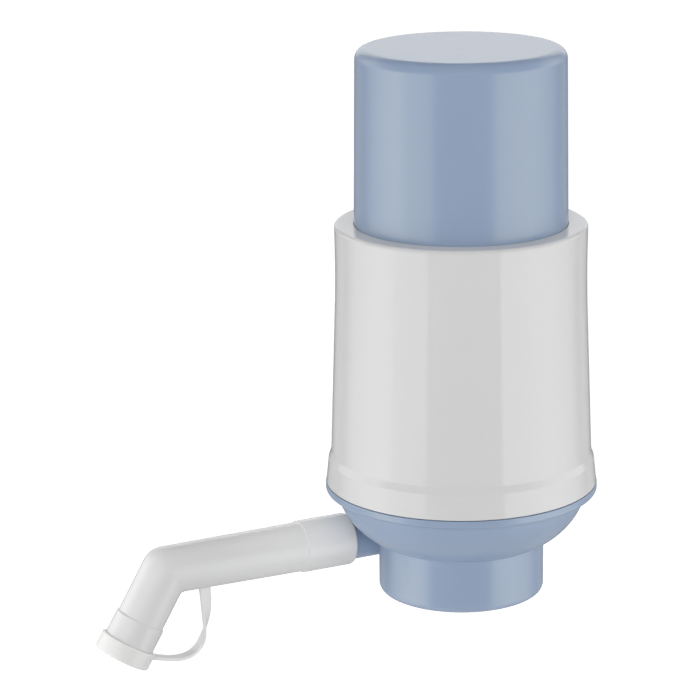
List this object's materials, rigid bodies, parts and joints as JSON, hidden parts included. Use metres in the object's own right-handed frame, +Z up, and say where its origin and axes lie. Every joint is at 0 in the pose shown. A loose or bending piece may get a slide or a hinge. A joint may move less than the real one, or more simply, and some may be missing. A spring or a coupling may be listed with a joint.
{
  "type": "water jug hand pump",
  "caption": "Hand pump that sits on a water jug's neck: a sprung press cap over a bellows in a round housing, with an angled swivelling spout and a strapped spout cap.",
  "frame": {"origin": "centre of the collar's mouth, on the pump's axis, where the collar is pushed over the bottle's neck", "axes": "+Z up along the pump's axis; the spout points along -X, on an axis 20.3 mm to the +Y side of the pump's axis"},
  "size_m": [0.1948, 0.1036, 0.2274],
  "materials": {
    "blue_abs": "moulded, glossy, grey-blue",
    "white_abs": "moulded, glossy, cool white",
    "spout_white": "moulded, soft gloss, white",
    "soft_cap": "soft white plastic, satin",
    "milky_pp": "natural milky plastic, satin",
    "grey_rubber": "moulded, matt, dark grey",
    "clear_seal": "moulded silicone, satin, pale grey",
    "zinc_steel": "zinc plated"
  },
  "bodies": {
    "pump_body": {"base_body": "blue_abs", "outer_housing": "white_abs", "valve_plate": "milky_pp", "plate_gasket": "clear_seal", "plate_screws": "zinc_steel", "bellows": "grey_rubber", "bellows_foot_ring": "milky_pp", "foot_ring_screws": "zinc_steel", "return_spring": "zinc_steel", "neck_seal": "clear_seal", "spout_o_ring": "grey_rubber"},
    "press_head": {"press_cap": "blue_abs", "bellows_top_plate": "milky_pp", "bellows_top_ring": "milky_pp", "top_plate_screws": "zinc_steel"},
    "inlet_valve_body": {"inlet_valve": "clear_seal"},
    "outlet_valve_body": {"outlet_valve": "clear_seal"},
    "spout_arm": {"spout_tube": "spout_white", "cap_strap": "soft_cap"},
    "spout_cap_body": {"spout_cap": "soft_cap"}
  },
  "joints": [
    {"name": "press", "type": "slide", "parent": "pump_body", "child": "press_head", "axis": [0, 0, -1], "range_m": [0, 0.05], "stiffness_N_per_m": 600, "springref_m": -0.015, "deforming": ["bellows", "return_spring"]},
    {"name": "inlet_valve_lift", "type": "slide", "parent": "press_head", "child": "inlet_valve_body", "axis": [0, 0, -1], "range_m": [0, 0.001], "stiffness_N_per_m": 30, "springref_m": -0.0005},
    {"name": "outlet_valve_lift", "type": "slide", "parent": "pump_body", "child": "outlet_valve_body", "axis": [0, 0, -1], "range_m": [0, 0.001], "stiffness_N_per_m": 30, "springref_m": -0.0005},
    {"name": "spout_swivel", "type": "hinge", "parent": "pump_body", "child": "spout_arm", "pos_m": [-0.06, 0.0203, 0.0197], "axis": [-1, 0, 0], "continuous": true},
    {"name": "spout_cap_pull", "type": "slide", "parent": "spout_arm", "child": "spout_cap_body", "axis": [-0.515, 0, -0.8572], "range_m": [0, 0.012]}
  ]
}
